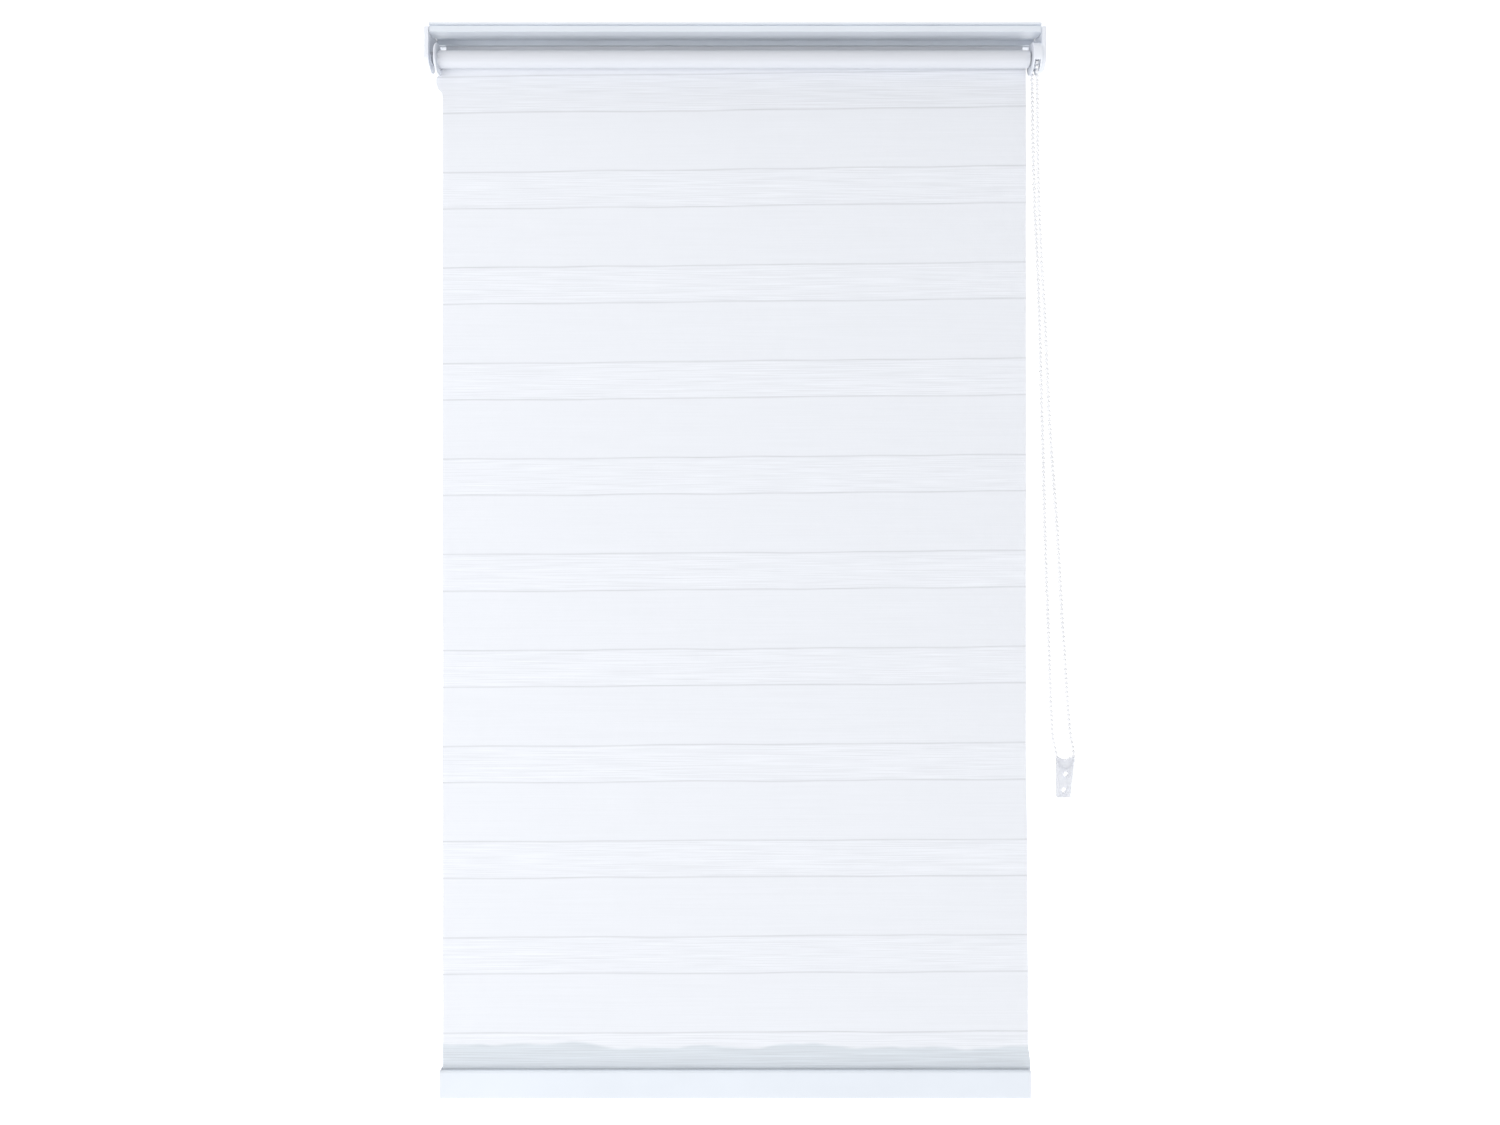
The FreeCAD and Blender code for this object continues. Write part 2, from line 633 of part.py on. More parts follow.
def clutch_screw():
    tip = INNER - MANDREL_LENGTH
    return screw(tip + 9, tip - 1, AXIS_Y, AXIS_Z, -1)


# Idle end, at the left


def idle_plug():
    """Plug with the left flange; the sprung pin slides in its stepped bore."""
    barrel = plug_body(TUBE_LEFT, PLUG_X1)
    stop = axis_rod(TUBE_R - SNUG, FLANGE_X1, TUBE_LEFT)
    flange = axis_rod(GUARD_R, FLANGE_X0, FLANGE_X1)
    collar = axis_rod(PLUG_COLLAR_R, COLLAR_X0, FLANGE_X0)
    bore = axis_rod(PIN_R + RUNNING, COLLAR_X0, STEP_X)
    chamber = axis_rod(PIN_COLLAR_R + SNUG, STEP_X, PLUG_X1)
    body = join(barrel, stop, flange, collar).cut([bore, chamber])
    soft = [e for e in body.Edges if abs(e.Length - 2 * math.pi * GUARD_R) < 0.01]
    return body.makeFillet(0.6, soft)


def idle_pin():
    tip = -INNER - PIN_HOLD
    collar_x = STEP_X + AXIAL_GAP / 2
    shaft = axis_rod(PIN_R, tip, collar_x)
    tip_edges = [e for e in shaft.Edges if all(abs(v.X - tip) < 0.001 for v in e.Vertexes)]
    shaft = shaft.makeChamfer(0.6, tip_edges)
    collar = axis_rod(PIN_COLLAR_R, collar_x, collar_x + PIN_COLLAR_T)
    stub = axis_rod(COIL_R - COIL_WIRE, collar_x + PIN_COLLAR_T, collar_x + PIN_COLLAR_T + PIN_STUB)
    return join(shaft, collar, stub)


def pin_spring():
    """A coil of wire from the pin's collar to the seat, in short straight runs with mitred corners."""
    x0 = STEP_X + AXIAL_GAP + PIN_COLLAR_T + COIL_WIRE / 2
    x1 = PLUG_X1 - SEAT_T - AXIAL_GAP / 2 - COIL_WIRE / 2
    points = []
    for i in range(COIL_TURNS * COIL_STEPS + 1):
        angle = 2 * math.pi * i / COIL_STEPS
        x = x0 + (x1 - x0) * i / (COIL_TURNS * COIL_STEPS)
        points.append(vec(x, AXIS_Y + COIL_R * math.cos(angle), AXIS_Z + COIL_R * math.sin(angle)))
    section = Part.Wire(Part.makeCircle(COIL_WIRE / 2, points[0], points[1] - points[0]))
    mitred = 1
    return Part.makePolygon(points).makePipeShell([section], True, False, mitred)


def spring_seat():
    disc = axis_rod(PIN_COLLAR_R, PLUG_X1 - SEAT_T, PLUG_X1)
    boss = axis_rod(COIL_R - COIL_WIRE, PLUG_X1 - SEAT_T - SEAT_BOSS, PLUG_X1 - SEAT_T)
    return join(disc, boss)


# Bottom rail


def casing_block(inset, x0, x1):
    """The casing's outline, drawn in by inset, with its long edges rounded."""
    half = CASING_DEPTH / 2 - inset
    foot, top = -BLIND_DROP + inset, -BLIND_DROP + CASING_HEIGHT - inset
    box = block(x0, x1, CASING_Y - half, CASING_Y + half, foot, top)
    long_edges = [e for e in box.Edges if abs(e.Length - (x1 - x0)) < 0.001]
    return box.makeFillet(max(CASING_CORNER_R - inset, 0.5), long_edges)


def casing_ends():
    return -HALF + CASING_INSET_LEFT, HALF - CASING_INSET_RIGHT


def bottom_rail():
    left, right = casing_ends()
    x0, x1 = left + CAP_T, right - CAP_T
    shell = casing_block(0, x0, x1).cut(casing_block(CASING_WALL, x0, x1))
    slot_half = LOOP_R + FABRIC_T / 2 + CASING_SLOT_MARGIN
    top = -BLIND_DROP + CASING_HEIGHT
    slot = block(x0, x1, CASING_Y - slot_half, CASING_Y + slot_half, top - CASING_WALL, top)
    return shell.cut(slot)


def end_cap(side):
    """Cap with a tongue in the casing's foot and the stub axle that the bar turns on."""
    outer = casing_ends()[0 if side < 0 else 1]
    face = outer - side * CAP_T
    x0, x1 = sorted((outer, face))
    plate = casing_block(0, x0, x1)
    rim = [e for e in plate.Edges if all(abs(v.X - outer) < 0.001 for v in e.Vertexes)]
    plate = plate.makeFillet(0.7, rim)
    a, b = sorted((face, face - side * CAP_TONGUE_LENGTH))
    half = CASING_DEPTH / 2 - CASING_CORNER_R - FIT
    foot = -BLIND_DROP + CASING_WALL + SNUG
    tongue = block(a, b, CASING_Y - half, CASING_Y + half, foot, foot + CAP_TONGUE_HEIGHT)
    c, d = sorted((face, face - side * AXLE_LENGTH))
    axle = rod(BAR_R - BAR_WALL - RUNNING, c, d, CASING_Y, BAR_Z)
    return join(plate, tongue, axle)


def weight_bar():
    left, right = casing_ends()
    x0, x1 = left + CAP_T + AXIAL_GAP, right - CAP_T - AXIAL_GAP
    return rod(BAR_R, x0, x1, CASING_Y, BAR_Z).cut(rod(BAR_R - BAR_WALL, x0, x1, CASING_Y, BAR_Z))


# Chain and tensioner


def on_wheel(degrees, radius):
    """A point in the chain's plane, round the wheel."""
    angle = math.radians(degrees)
    return (CHAIN_X, AXIS_Y + radius * math.cos(angle), AXIS_Z + radius * math.sin(angle))


def chain_route():
    start = [on_wheel(91, PITCH_R), on_wheel(112.5, OCTAGON), on_wheel(157.5, OCTAGON)]
    end = [on_wheel(22.5, OCTAGON), on_wheel(67.5, OCTAGON), on_wheel(89, PITCH_R)]
    return [vec(*p) for p in start + FRONT_STRAND + TENSIONER_TURN + REAR_STRAND + end]


def route_edges(points, say=False):
    """Straight runs joined by arcs, each as large as its two runs allow."""
    edges, radii, at = [], [], points[0]
    for before, corner, after in zip(points, points[1:], points[2:]):
        back, on = (before - corner), (after - corner)
        cut = 0.45 * min(back.Length, on.Length)
        back.normalize()
        on.normalize()
        turn = math.pi - back.getAngle(on)
        radius = cut / math.tan(turn / 2)
        inward = (back + on).normalize()
        middle = corner + inward * (radius / math.cos(turn / 2) - radius)
        enter, leave = corner + back * cut, corner + on * cut
        edges += [Part.LineSegment(at, enter).toShape(), Part.Arc(enter, middle, leave).toShape()]
        radii.append(round(radius))
        at = leave
    edges.append(Part.LineSegment(at, points[-1]).toShape())
    if say:
        print("chain arc radii, mm:", radii)
    return edges


def tube_along(points, radius, say=False):
    path = Part.Wire(route_edges(points, say))
    section = Part.Face(Part.Wire(Part.makeCircle(radius, points[0], points[1] - points[0])))
    tube = path.makePipe(section)
    if say:
        share = tube.Volume / (section.Area * path.Length)
        print("chain length, mm:", round(path.Length), "volume share:", round(share, 4))
    return tube


def bead_chain():
    return tube_along(chain_route(), BEAD_R, say=True)


def chain_channel():
    """What the chain takes from the tensioner: its lowest turn, with room round it."""
    points = [vec(*p) for p in FRONT_STRAND[-3:] + TENSIONER_TURN + REAR_STRAND[:3]]
    return tube_along(points, BEAD_R + CHANNEL_GAP)


def tensioner_half(y0, y1):
    """Half of the tapered plate, with its two screw holes and half of the chain's channel."""
    (top_left, top_right), (foot_left, foot_right) = TENSIONER_TOP, TENSIONER_FOOT
    corners = [
        vec(top_left, y0, TENSIONER_TOP_Z),
        vec(top_right, y0, TENSIONER_TOP_Z),
        vec(foot_right, y0, TENSIONER_FOOT_Z),
        vec(foot_left, y0, TENSIONER_FOOT_Z),
    ]
    face = Part.Face(Part.makePolygon(corners + corners[:1]))
    plate = face.extrude(vec(0, y1 - y0, 0))
    corner_edges = [e for e in plate.Edges if abs(e.Length - (y1 - y0)) < 0.001]
    plate = plate.makeFillet(TENSIONER_CORNER_R, corner_edges)
    middle = (top_left + top_right) / 2
    scallop = Part.makeCylinder(
        HUB_SCALLOP_R, y1 - y0, vec(middle, y0, TENSIONER_TOP_Z + HUB_SCALLOP_R - 2.4), vec(0, 1, 0)
    )
    holes = [
        Part.makeCylinder(TENSIONER_HOLE_R, y1 - y0, vec(x, y0, z), vec(0, 1, 0)) for x, z in TENSIONER_HOLES
    ]
    return plate.cut([scallop, *holes]).cut(chain_channel())


def tensioner_body():
    return tensioner_half(TENSIONER_Y + PARTING_OFFSET, TENSIONER_Y + TENSIONER_T / 2)


def tensioner_cover():
    """The front half, with a shallow square recess round each hole."""
    front = TENSIONER_Y - TENSIONER_T / 2
    plate = tensioner_half(front, TENSIONER_Y + PARTING_OFFSET)
    recesses = [block(x - 4.2, x + 4.2, front, front + 0.8, z - 4.2, z + 4.2) for x, z in TENSIONER_HOLES]
    return plate.cut(recesses)


PIECES = {
    "head_rail": head_rail,
    "clip_left": lambda: clip(-CLIP_SPACING / 2),
    "clip_right": lambda: clip(CLIP_SPACING / 2),
    "rail_strip": rail_strip,
    "bracket_left": bracket_left,
    "bracket_right": bracket_right,
    "bracket_screws": bracket_screws,
    "roller_tube": roller_tube,
    "tube_strip": tube_strip,
    "fabric_roll": fabric_roll,
    "fabric_front": fabric_front,
    "fabric_rear": fabric_rear,
    "fabric_loop": fabric_loop,
    "clutch_base": clutch_base,
    "clutch_guard": clutch_guard,
    "chain_wheel": chain_wheel,
    "wrap_springs": wrap_springs,
    "drive_hub": drive_hub,
    "clutch_washer": clutch_washer,
    "clutch_screw": clutch_screw,
    "idle_plug": idle_plug,
    "idle_pin": idle_pin,
    "pin_spring": pin_spring,
    "spring_seat": spring_seat,
    "bottom_rail": bottom_rail,
    "end_cap_left": lambda: end_cap(-1),
    "end_cap_right": lambda: end_cap(1),
    "weight_bar": weight_bar,
    "bead_chain": bead_chain,
    "tensioner_body": tensioner_body,
    "tensioner_cover": tensioner_cover,
}

os.makedirs("parts", exist_ok=True)
for name, make in PIECES.items():
    make().exportStep(f"parts/{name}.step")
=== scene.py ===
import json
import math

import bmesh
import bpy
from mathutils import Matrix, Vector, noise


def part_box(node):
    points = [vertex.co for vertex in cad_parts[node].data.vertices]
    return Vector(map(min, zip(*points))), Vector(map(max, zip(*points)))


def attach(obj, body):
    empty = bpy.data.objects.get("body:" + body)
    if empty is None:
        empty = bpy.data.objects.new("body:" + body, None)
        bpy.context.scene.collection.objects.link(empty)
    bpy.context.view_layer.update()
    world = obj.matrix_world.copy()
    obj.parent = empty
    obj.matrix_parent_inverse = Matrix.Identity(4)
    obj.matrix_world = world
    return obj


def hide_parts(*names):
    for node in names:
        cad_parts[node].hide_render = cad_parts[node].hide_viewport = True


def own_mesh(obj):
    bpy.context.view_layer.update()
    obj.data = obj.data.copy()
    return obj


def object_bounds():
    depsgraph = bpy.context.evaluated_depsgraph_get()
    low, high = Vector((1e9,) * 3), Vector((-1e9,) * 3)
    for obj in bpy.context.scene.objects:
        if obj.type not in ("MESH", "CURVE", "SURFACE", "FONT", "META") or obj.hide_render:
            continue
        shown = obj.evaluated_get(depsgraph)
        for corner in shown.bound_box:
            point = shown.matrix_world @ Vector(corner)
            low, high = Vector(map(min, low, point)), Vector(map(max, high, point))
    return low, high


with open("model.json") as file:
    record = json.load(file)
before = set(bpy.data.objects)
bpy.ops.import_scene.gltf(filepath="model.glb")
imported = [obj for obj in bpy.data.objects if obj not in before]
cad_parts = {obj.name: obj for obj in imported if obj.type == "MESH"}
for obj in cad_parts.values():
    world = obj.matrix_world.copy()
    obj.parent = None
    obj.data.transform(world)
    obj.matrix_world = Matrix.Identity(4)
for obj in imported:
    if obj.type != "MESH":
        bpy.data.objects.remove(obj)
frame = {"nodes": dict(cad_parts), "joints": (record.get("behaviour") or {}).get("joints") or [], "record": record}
cad_low, cad_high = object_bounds()

# A zebra roller blind. The cloth, the bead chain and the pin's spring are built here in place of their CAD
# solids. Every other piece keeps its CAD shape and gets a material.

# Places and sizes in metres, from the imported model
JOINTS = {joint["name"]: joint for joint in frame["joints"]}
ROLL_Y, ROLL_Z = JOINTS["roll_spin"]["pos_m"][1:]
BAR_Y, BAR_Z = JOINTS["bar_spin"]["pos_m"][1:]
FRONT_LOW, FRONT_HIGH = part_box("fabric_front")
REAR_LOW, REAR_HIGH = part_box("fabric_rear")
ROLL_LOW, ROLL_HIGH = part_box("fabric_roll")
LOOP_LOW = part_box("fabric_loop")[0]
TUBE_LOW, TUBE_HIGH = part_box("roller_tube")
SPRING_LOW, SPRING_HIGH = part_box("pin_spring")
FABRIC_LEFT, FABRIC_RIGHT = FRONT_LOW.x, FRONT_HIGH.x
CLOTH_THICK = 0.0003
ROLL_R = (ROLL_HIGH.z - ROLL_LOW.z) / 2
TUBE_R = (TUBE_HIGH.z - TUBE_LOW.z) / 2
LOOP_R = BAR_Y - LOOP_LOW.y - CLOTH_THICK / 2

# The cloth's bands. SHEER_Z is the middle of the front layer's uppermost sheer band.
BAND_REPEAT = 0.1256  # from one sheer band to the next
SHEER_HALF = 0.024  # half the height of a sheer band
SHEER_Z = -0.0797
REAR_SHEER_Z = SHEER_Z - BAND_REPEAT / 2
BAND_SLOPE = 0.0127  # how much a band rises per metre across, at the ceiling
BAND_SLOPE_FALL = 0.0066  # and how much less that is for each metre further down
BAND_WAVER = 0.0008  # how far a band's edge wanders up and down
BAND_BLUR = 0.0004  # half the height over which a sheer band turns into an opaque one
EDGE_LINE = 0.0016  # how far the fine line at a band's edge reaches to each side
PAINTED_SHADE_Z = -1.330  # painted shade: a deeper tone on the cloth above the bottom rail, for the shade between the two layers, starts here
PAINTED_SHADE_RAGGED = 0.006  # how far the edge of that tone wanders up and down
PAINTED_SHADE_BLUR = 0.002  # half the height over which it starts
SHEER_COVER = 0.88  # the least that a sheer band hides of what is behind it
LINE_STRENGTH = 0.9  # how fully a band's edge takes the fine line's tone
THREAD_PITCH = 0.0009
WEAVE_DEPTH = 0.00006
SLUB_HEIGHT = 3.0  # how far a slub stands out, beside a thread

# How the cloth hangs
SWELL = 0.0011  # about the furthest that a layer strays from its plane
SWELL_ACROSS, SWELL_DOWN = 1.6, 4.0  # how quickly the swells change, per metre
EDGE_CHANGE = 9.0  # how quickly the side edges wander, per metre
HELD_RUN = 0.12  # how far from its held ends a layer swells freely
FLARE = 0.0085  # how far the front layer's left edge swings out
FLARE_TOP, FLARE_FOOT = -0.053, -0.085
FLARE_GROWS, FLARE_FADES = 0.006, 0.014  # the heights over which it swings out and back in
DRIFT, DRIFT_TOP, DRIFT_RUN = 0.0028, -0.85, 0.4  # the front layer's right edge drifts out here
HEM_DRIFT, HEM_DRIFT_TOP, HEM_DRIFT_RUN = 0.0030, -1.325, 0.03  # and once more above the rail
REAR_INSET = 0.0004  # how far the rear layer's right edge stands in
LAYER_ROWS, LAYER_COLUMNS = 200, 48
LOOP_STEPS, LOOP_COLUMNS = 24, 12
ROLL_TURNS = 4.5
ROLL_GAP = 0.00005  # between the tube and the innermost turn
ROLL_STEPS, ROLL_COLUMNS = 48, 8  # the steps are for one turn
CREASE = math.radians(65)  # a smooth mesh stays sharp at an edge that turns further than this

# The chain. Its route goes round the wheel by the corners of an octagon whose sides touch the circle that
# the beads run on.
BEAD_D = 0.0045
BEAD_PITCH = 0.006
BEAD_CUT = 0.6  # how much of a bead's ends is cut flat, in steps of its rings
CHAIN_STRING_R = 0.0006
PITCH_R = 0.013369
OCTAGON = 0.014471
CHAIN_X = 0.3887
CHAIN_START, CHAIN_END = 91, 89  # degrees round the wheel, from +Y towards +Z
FRONT_STRAND = [
    (0.3888, -0.0246, -0.059),
    (0.3891, -0.0240, -0.103),
    (0.3898, -0.0230, -0.165),
    (0.3914, -0.0221, -0.230),
    (0.3946, -0.0211, -0.295),
    (0.3989, -0.0202, -0.360),
    (0.4023, -0.0192, -0.425),
    (0.4050, -0.0182, -0.490),
    (0.4092, -0.0173, -0.555),
    (0.4146, -0.0163, -0.620),
    (0.4191, -0.0154, -0.685),
    (0.4226, -0.0144, -0.750),
    (0.4272, -0.0134, -0.812),
    (0.4303, -0.0127, -0.862),
    (0.4330, -0.0121, -0.900),
    (0.4364, -0.0118, -0.927),
    (0.4402, -0.0115, -0.945),
]
TENSIONER_TURN = [
    (0.4392, -0.01145, -0.957),
    (0.4340, -0.01145, -0.9645),
    (0.4246, -0.01145, -0.9645),
    (0.4192, -0.01145, -0.957),
]
REAR_STRAND = [
    (0.4170, -0.0114, -0.945),
    (0.4126, -0.0111, -0.927),
    (0.4107, -0.0107, -0.900),
    (0.4096, -0.0101, -0.862),
    (0.4083, -0.0094, -0.812),
    (0.4064, -0.0085, -0.750),
    (0.4040, -0.0075, -0.685),
    (0.4027, -0.0066, -0.620),
    (0.4016, -0.0056, -0.555),
    (0.3997, -0.0047, -0.490),
    (0.3985, -0.0037, -0.425),
    (0.3969, -0.0027, -0.360),
    (0.3949, -0.0018, -0.295),
    (0.3916, -0.0008, -0.230),
    (0.3902, 0.0001, -0.165),
    (0.3893, 0.0011, -0.103),
    (0.3888, 0.0017, -0.059),
]


# Camera, lights and stage

EYE = (0.019, -1.5, -0.6965)
LENS, SENSOR = 27.48, 36.0  # millimetres
# Each soft lamp has a place, a width and a power in watts. The overhead one is a sun, so it has the way
# that it shines, a strength and the angle that it spreads over, in radians.
KEY_PLACE, KEY_SIZE, KEY_POWER = (-1.6, -1.4, -0.65), 1.4, 9.0
BACK_PLACE, BACK_SIZE, BACK_POWER = (0.9, 2.4, 0.3), 1.6, 14.0
OVERHEAD_WAY, OVERHEAD_POWER, OVERHEAD_SPREAD = (0.15, 0.3, -1.0), 0.9, 0.5
SURROUND_POWER = 0.5
FLOOR_DROP, FLOOR_HALF, FLOOR_GLOW = 0.35, 20.0, 0.65
DOME_RADIUS, DOME_GLOW = 18.0, 1.1
WHITE = (1.0, 1.0, 1.0, 1.0)
BLACK = (0.0, 0.0, 0.0, 1.0)


def camera():
    """Straight in front of the blind, level with its middle."""
    data = bpy.data.cameras.new("camera")
    data.lens = LENS
    data.sensor_width = SENSOR
    data.clip_start, data.clip_end = 0.01, 100.0
    eye = bpy.data.objects.new("camera", data)
    eye.location = EYE
    eye.rotation_euler = (math.radians(90), 0, 0)
    bpy.context.scene.collection.objects.link(eye)
    bpy.context.scene.camera = eye


def soft_light(name, place, aim, size, power):
    """A round lamp that the camera doesn't see."""
    data = bpy.data.lights.new(name, "AREA")
    data.shape = "DISK"
    data.size = size
    data.energy = power
    lamp = bpy.data.objects.new(name, data)
    lamp.location = place
    lamp.visible_camera = False
    lamp.rotation_euler = (Vector(aim) - Vector(place)).to_track_quat("-Z", "Y").to_euler()
    bpy.context.scene.collection.objects.link(lamp)


def overhead():
    """Even light from above and a little in front, so that what faces up isn't dark."""
    data = bpy.data.lights.new("overhead", "SUN")
    data.energy = OVERHEAD_POWER
    data.angle = OVERHEAD_SPREAD
    lamp = bpy.data.objects.new("overhead", data)
    lamp.rotation_euler = Vector(OVERHEAD_WAY).to_track_quat("-Z", "Y").to_euler()
    bpy.context.scene.collection.objects.link(lamp)


def studio():
    """A white surround, soft light from the front, back and above, and a pale floor under the blind."""
    scene = bpy.context.scene
    scene.view_settings.view_transform = "Standard"
    world = bpy.data.worlds.new("surround")
    world.use_nodes = True
    surround = world.node_tree.nodes["Background"]
    surround.inputs["Color"].default_value = WHITE
    surround.inputs["Strength"].default_value = SURROUND_POWER
    scene.world = world
    middle = (cad_low + cad_high) / 2
    soft_light("key", KEY_PLACE, middle, KEY_SIZE, KEY_POWER)
    soft_light("back", BACK_PLACE, middle, BACK_SIZE, BACK_POWER)
    overhead()

    floor_z = cad_low.z - FLOOR_DROP
    around = [(-1, -1), (1, -1), (1, 1), (-1, 1)]
    corners = [(x * FLOOR_HALF, y * FLOOR_HALF, floor_z) for x, y in around]
    floor = mesh_object("floor", corners, [(0, 1, 2, 3)], pale_floor())
    white_dome(middle)


def white_dome(middle):
    """A plain white shell round everything, which the camera sees and no other ray meets."""
    material, _, shader = shader_nodes("white_dome")
    shader.inputs["Base Color"].default_value = BLACK
    shader.inputs["Emission Color"].default_value = WHITE
    shader.inputs["Emission Strength"].default_value = DOME_GLOW
    centre = Matrix.Translation(middle)
    shell = bmesh.new()
    bmesh.ops.create_icosphere(shell, subdivisions=4, radius=DOME_RADIUS, matrix=centre)
    data = bpy.data.meshes.new("dome")
    shell.to_mesh(data)
    shell.free()
    data.materials.append(material)
    dome = bpy.data.objects.new("dome", data)
    bpy.context.scene.collection.objects.link(dome)
    dome.visible_diffuse = False
    dome.visible_glossy = False
    dome.visible_transmission = False
    dome.visible_shadow = False
    return dome


# Materials


def shader_nodes(name):
    """A new material, its node tree and its Principled shader."""
    material = bpy.data.materials.new(name)
    material.use_nodes = True
    tree = material.node_tree
    return material, tree, tree.nodes["Principled BSDF"]


def linked(tree, kind, inputs, **settings):
    """A new node with its settings made and its inputs given as values or as sockets to link."""
    node = tree.nodes.new(kind)
    for key, value in settings.items():
        setattr(node, key, value)
    for key, value in inputs.items():
        if isinstance(value, bpy.types.NodeSocket):
            tree.links.new(value, node.inputs[key])
        else:
            node.inputs[key].default_value = value
    return node


def math_node(tree, operation, a, b=0.0):
    return linked(tree, "ShaderNodeMath", {0: a, 1: b}, operation=operation).outputs[0]


def position(tree):
    """A point's place in its object, in metres."""
    return tree.nodes.new("ShaderNodeTexCoord").outputs["Object"]


def grain(tree, scale, detail=3.0, stretch=(1.0, 1.0, 1.0)):
    """Noise with about scale cells to the metre, drawn out along an axis where stretch is under 1."""
    placed = linked(tree, "ShaderNodeMapping", {"Vector": position(tree), "Scale": stretch})
    made = linked(
        tree, "ShaderNodeTexNoise", {"Vector": placed.outputs[0], "Scale": scale, "Detail": detail}
    )
    return made.outputs[0]


def spread_to(tree, value, low, high, from_low=0.3, from_high=0.7):
    """A value mapped on to the range from low to high. Noise lies mostly between 0.3 and 0.7."""
    inputs = {"Value": value, "From Min": from_low, "From Max": from_high}
    inputs |= {"To Min": low, "To Max": high}
    return linked(tree, "ShaderNodeMapRange", inputs).outputs[0]


def mixed(tree, share, a, b):
    """Colour a with a share of b mixed in."""
    inputs = {"Factor": share, "A": a, "B": b}
    node = tree.nodes.new("ShaderNodeMix")
    node.data_type = "RGBA"
    for key, value in inputs.items():
        socket = next(s for s in node.inputs if s.name == key and s.enabled)
        if isinstance(value, bpy.types.NodeSocket):
            tree.links.new(value, socket)
        else:
            socket.default_value = value
    return next(s for s in node.outputs if s.enabled)


def colour(rgb, share=1.0):
    """A shader's colour, darker where share is under 1."""
    return (rgb[0] * share, rgb[1] * share, rgb[2] * share, 1.0)


def bumped(tree, shader, height, depth, strength=1.0):
    inputs = {"Height": height, "Distance": depth, "Strength": strength}
    bump = linked(tree, "ShaderNodeBump", inputs)
    tree.links.new(bump.outputs[0], shader.inputs["Normal"])


def grained(name, rgb, roughness, cell, depth, metallic=0.0, stretch=(1.0, 1.0, 1.0), darker=0.93):
    """A surface with a grain of the size of cell, slow drifts towards a darker tone and uneven gloss."""
    material, tree, shader = shader_nodes(name)
    drift = spread_to(tree, grain(tree, scale=9.0, stretch=stretch), 0.0, 1.0)
    tone = mixed(tree, drift, colour(rgb, share=darker), colour(rgb))
    fine = grain(tree, 1 / cell, stretch=stretch)
    tree.links.new(tone, shader.inputs["Base Color"])
    gloss = spread_to(tree, fine, roughness * 0.85, roughness * 1.15)
    tree.links.new(gloss, shader.inputs["Roughness"])
    shader.inputs["Metallic"].default_value = metallic
    bumped(tree, shader, fine, depth)
    return material, shader


def pale_floor():
    rgb = (0.9, 0.9, 0.9)
    material, shader = grained("pale_floor", rgb, roughness=0.7, cell=0.004, depth=0.0001, darker=0.99)
    shader.inputs["Emission Color"].default_value = WHITE
    shader.inputs["Emission Strength"].default_value = FLOOR_GLOW
    return material


def powder_coat():
    rgb = (0.735, 0.78, 0.845)
    material, shader = grained(
        "powder_coat", rgb, roughness=0.36, cell=0.0011, depth=0.00004, darker=0.96
    )
    shader.inputs["Coat Weight"].default_value = 0.25
    shader.inputs["Coat Roughness"].default_value = 0.22
    return material


def mill_aluminium():
    rgb = (0.74, 0.75, 0.77)
    drawn = (0.05, 1.0, 1.0)  # die lines run along X
    return grained(
        "mill_aluminium", rgb, roughness=0.32, cell=0.0006, depth=0.00003, metallic=1.0, stretch=drawn
    )[0]


def zinc_steel():
    rgb = (0.62, 0.63, 0.66)
    return grained(
        "zinc_steel", rgb, roughness=0.3, cell=0.0016, depth=0.00002, metallic=1.0, darker=0.84
    )[0]


def moulded(name, rgb, roughness):
    material, shader = grained(name, rgb, roughness, cell=0.0007, depth=0.00003)
    shader.inputs["Specular IOR Level"].default_value = 0.45
    return material


def chain_plastic():
    rgb = (0.86, 0.87, 0.90)
    material, shader = grained("bead_plastic", rgb, roughness=0.24, cell=0.0009, depth=0.00002)
    shader.inputs["Subsurface Weight"].default_value = 0.25
    shader.inputs["Subsurface Radius"].default_value = (0.002, 0.002, 0.002)
    return material


def clear_plastic():
    """Translucent, so that the chain shows faintly through it."""
    rgb = (0.82, 0.84, 0.90)
    material, shader = grained(
        "clear_plastic", rgb, roughness=0.3, cell=0.0012, depth=0.00004, darker=0.90
    )
    shader.inputs["Alpha"].default_value = 0.45
    return material


def band_distance(tree, z, sheer_z):
    """How far a point is from the middle of the nearest sheer band."""
    down = math_node(tree, "SUBTRACT", sheer_z, z)
    return math_node(tree, "PINGPONG", down, BAND_REPEAT / 2)


def level_across(tree, x, z):
    """Height with the bands' slope taken out and a slow waver added."""
    slope = math_node(tree, "MULTIPLY_ADD", z, BAND_SLOPE_FALL)
    slope.node.inputs[2].default_value = BAND_SLOPE
    rise = math_node(tree, "MULTIPLY", slope, x)
    waver = spread_to(tree, grain(tree, scale=7.0, detail=1.0), -BAND_WAVER, BAND_WAVER)
    return math_node(tree, "ADD", math_node(tree, "SUBTRACT", z, rise), waver)


def weave(tree):
    """Threads across and along, THREAD_PITCH apart."""
    x, _, z = split(tree)
    turns = 2 * math.pi / THREAD_PITCH
    across = math_node(tree, "SINE", math_node(tree, "MULTIPLY", z, turns))
    along = math_node(tree, "SINE", math_node(tree, "MULTIPLY", x, turns))
    return math_node(tree, "ADD", across, along)


def split(tree):
    parts = linked(tree, "ShaderNodeSeparateXYZ", {0: position(tree)})
    return parts.outputs[0], parts.outputs[1], parts.outputs[2]


CLOTH_WHITE = (0.81, 0.832, 0.88)
# Painted shade: the cloth wound on the roll is the same cloth, painted darker for the shade under the head rail.
ROLL_SHADED_WHITE = (0.68, 0.70, 0.75)
# Painted shade: the deeper tone that the cloth takes above the bottom rail, for the shade seen between the two
# layers.
PAINTED_SHADE_TONE = (0.735, 0.785, 0.84)
SLUB_STRETCH = (0.012, 1.0, 1.0)  # threads that run across the blind


